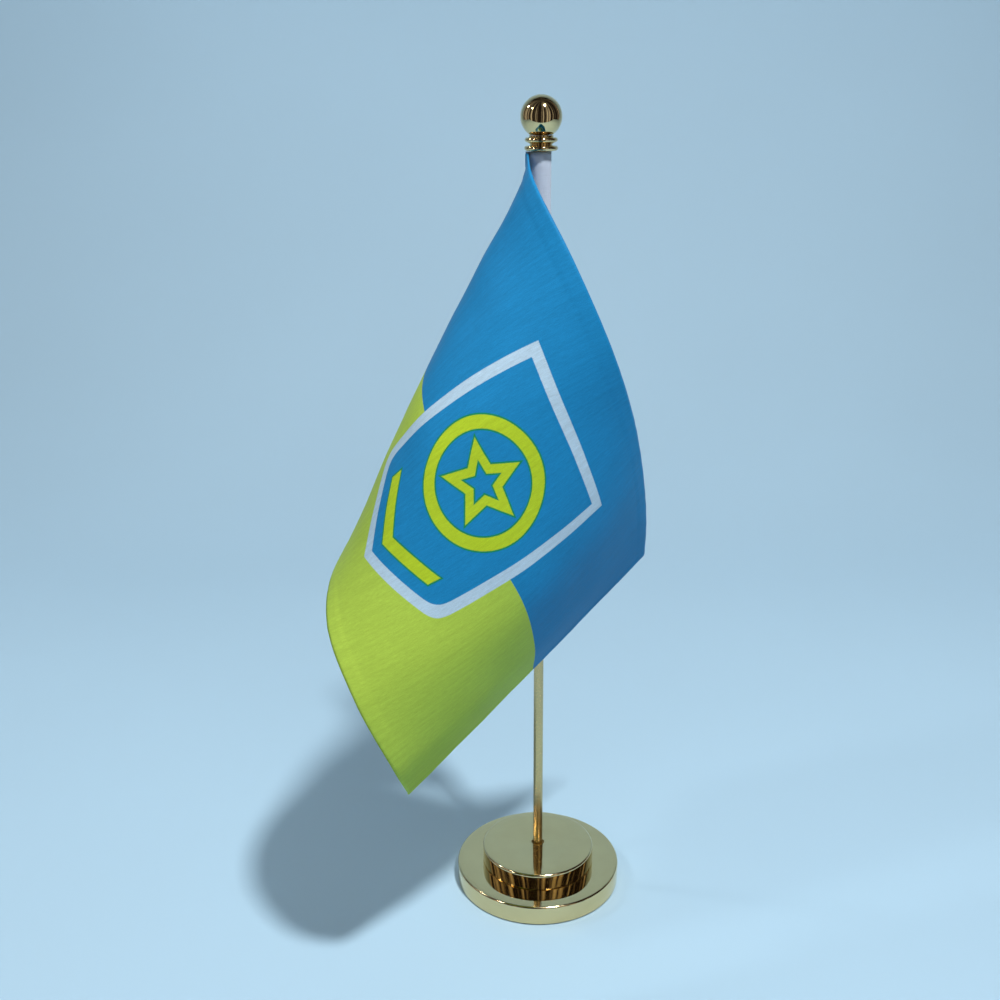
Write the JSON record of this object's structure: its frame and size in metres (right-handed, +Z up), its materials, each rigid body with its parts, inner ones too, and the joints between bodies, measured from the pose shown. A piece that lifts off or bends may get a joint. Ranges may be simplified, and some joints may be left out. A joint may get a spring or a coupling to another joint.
{
  "type": "desk flag stand",
  "caption": "Desk flag stand: stepped round metal base, slim upright pole with a ball finial, and a satin flag on a fabric sleeve that turns about the pole.",
  "frame": {"origin": "centre of the felt pad's underside, on the pole's axis", "axes": "+Z up along the pole; +X to the viewer's right and -Y towards the viewer, who faces the side that the flag swells to"},
  "size_m": [0.1237, 0.1186, 0.3267],
  "materials": {
    "gold_plate": "mirror-polished gold plating on pressed and turned metal",
    "pole_gold": "satin-bright gold-plated drawn tube",
    "brass_fitting": "plain turned brass",
    "zinc_steel": "zinc-plated steel",
    "cast_weight": "rough cast, unpainted",
    "felt_pad": "pressed wool felt",
    "white_tape": "plain-woven white polyester",
    "flag_satin": "printed polyester satin, two colour bands and a plain shield",
    "black_rubber": "matt moulded rubber"
  },
  "bodies": {
    "base": {"base_lower_shell": "gold_plate", "base_upper_shell": "gold_plate", "lower_weight": "cast_weight", "upper_weight": "cast_weight", "pole_socket": "brass_fitting", "clamp_nut": "zinc_steel", "spring_washer": "zinc_steel", "flat_washer": "zinc_steel", "felt_pad": "felt_pad"},
    "pole": {"pole_tube": "pole_gold", "pole_foot_plug": "brass_fitting", "pole_top_stud": "zinc_steel", "sleeve_stop_ring": "black_rubber"},
    "finial": {"finial_collar": "gold_plate", "finial_insert": "brass_fitting", "finial_rivet": "zinc_steel", "finial_ball": "gold_plate"},
    "flag": {"flag_sleeve": "white_tape", "flag_front_layer": "flag_satin", "flag_back_layer": "flag_satin", "hoist_stitching": "white_tape"}
  },
  "joints": [
    {"name": "pole_lift", "type": "slide", "parent": "base", "child": "pole", "axis": [0, 0, 1], "range_m": [0, 0.012]},
    {"name": "finial_lift", "type": "slide", "parent": "pole", "child": "finial", "axis": [0, 0, 1], "range_m": [0, 0.01]},
    {"name": "flag_turn", "type": "hinge", "parent": "pole", "child": "flag", "pos_m": [0, 0, 0.237], "axis": [0, 0, 1], "continuous": true}
  ]
}
